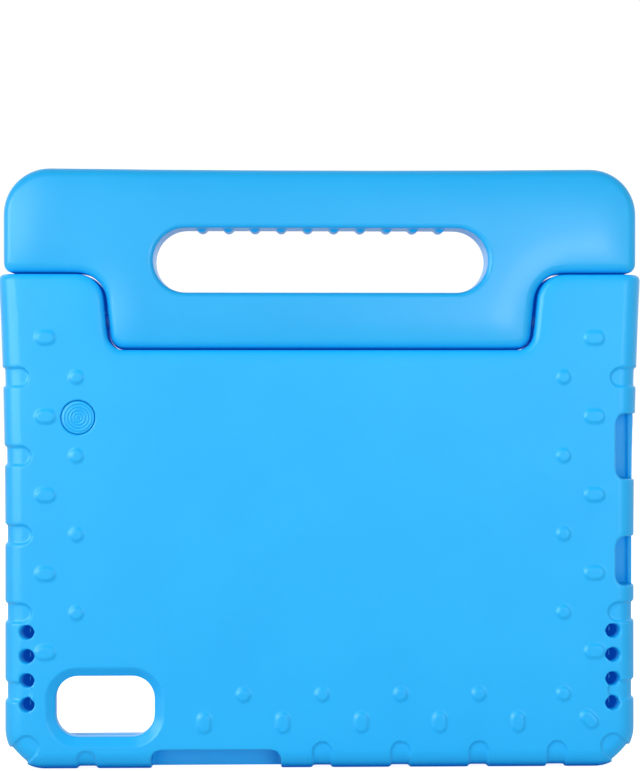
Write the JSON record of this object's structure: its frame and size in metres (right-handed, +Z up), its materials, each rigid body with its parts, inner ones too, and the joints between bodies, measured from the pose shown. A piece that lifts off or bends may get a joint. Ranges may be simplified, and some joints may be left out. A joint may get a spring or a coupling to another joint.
{
  "type": "tablet case",
  "caption": "Shockproof foam case for a large tablet, with a carry handle that folds back to make a stand.",
  "frame": {"origin": "middle of the overall width and depth, on the level of the case's bottom edge", "axes": "+X to the right and +Z up seen from behind with the handle at the top; -Y is the back and +Y is the screen side"},
  "size_m": [0.2884, 0.025, 0.2688],
  "materials": {
    "blue_foam": "moulded closed-cell EVA foam with a smooth satin skin",
    "blue_badge": "moulded foam disc with thin raised rings",
    "bush_nylon": "moulded nylon, dyed dark blue",
    "pin_acetal": "acetal, dyed dark blue",
    "washer_rubber": "soft navy rubber"
  },
  "bodies": {
    "case": {"case_body": "blue_foam", "badge_disc": "blue_badge", "left_case_bush": "bush_nylon", "right_case_bush": "bush_nylon"},
    "carry_handle": {"handle": "blue_foam", "left_handle_bush": "bush_nylon", "right_handle_bush": "bush_nylon", "left_pivot_pin": "pin_acetal", "right_pivot_pin": "pin_acetal", "left_friction_washer": "washer_rubber", "right_friction_washer": "washer_rubber"}
  },
  "joints": [
    {"name": "handle_fold", "type": "hinge", "parent": "case", "child": "carry_handle", "pos_m": [0, -0.00505, 0.2001], "axis": [1, 0, 0], "range_deg": [0, 110]}
  ]
}
